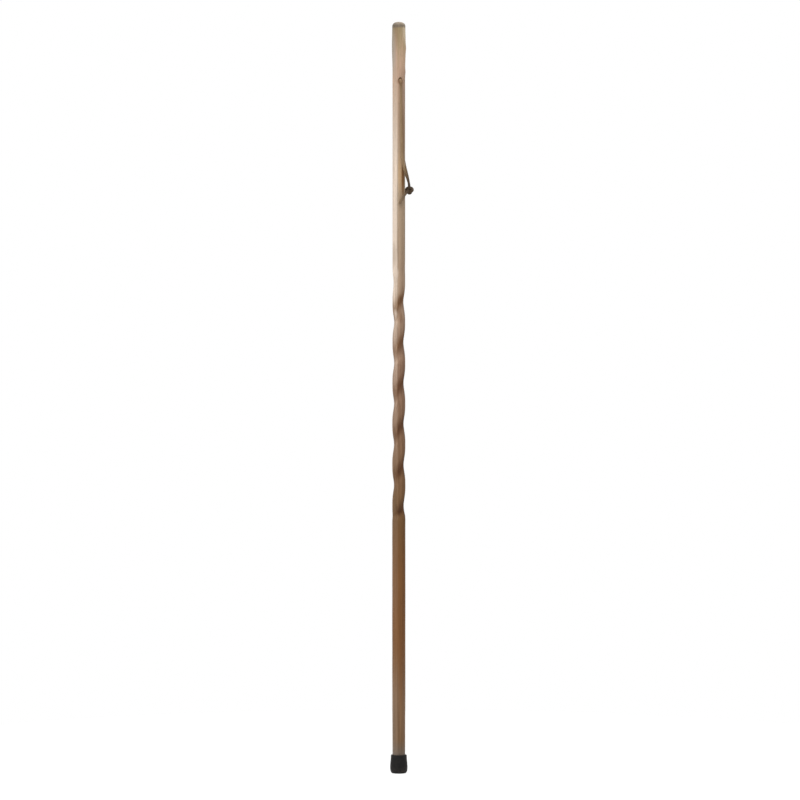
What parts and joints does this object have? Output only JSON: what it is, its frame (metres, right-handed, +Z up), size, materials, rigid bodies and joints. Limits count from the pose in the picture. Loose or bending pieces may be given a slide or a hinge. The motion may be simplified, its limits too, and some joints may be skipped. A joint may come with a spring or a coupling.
{
  "type": "hiking staff",
  "caption": "Straight one-piece wooden hiking staff with a carved right-hand twist in its middle, a swelled grip, a leather wrist lace tied through a cross hole, and a rubber ferrule.",
  "frame": {"origin": "middle of the ferrule's tread, on the ground under the staff's axis", "axes": "+Z up along the staff to the crown of the grip; -Y is the front, where the lace's front mouth is; +X is the side where the lace's knot hangs"},
  "size_m": [0.0467, 0.0354, 1.473],
  "materials": {
    "stained_hardwood": "stained hardwood, pale at the grip and red-brown at the foot, with a satin clear coat",
    "black_rubber": "moulded black rubber, matt",
    "washer_steel": "stamped zinc-plated steel",
    "lace_leather": "dark brown oiled leather lace"
  },
  "bodies": {
    "ferrule": {"rubber_ferrule": "black_rubber", "ferrule_washer": "washer_steel"},
    "staff": {"staff_shaft": "stained_hardwood"},
    "lanyard": {"lanyard_front_strand": "lace_leather", "lanyard_back_strand": "lace_leather", "lanyard_knot": "lace_leather", "lanyard_front_tail": "lace_leather", "lanyard_back_tail": "lace_leather"}
  },
  "joints": [
    {"name": "lanyard_swing", "type": "hinge", "parent": "staff", "child": "lanyard", "pos_m": [0, 0, 1.359], "axis": [0, -1, 0], "range_deg": [0, 348]},
    {"name": "staff_lift_out", "type": "slide", "parent": "ferrule", "child": "staff", "axis": [0, 0, 1], "range_m": [0, 0.036]}
  ]
}
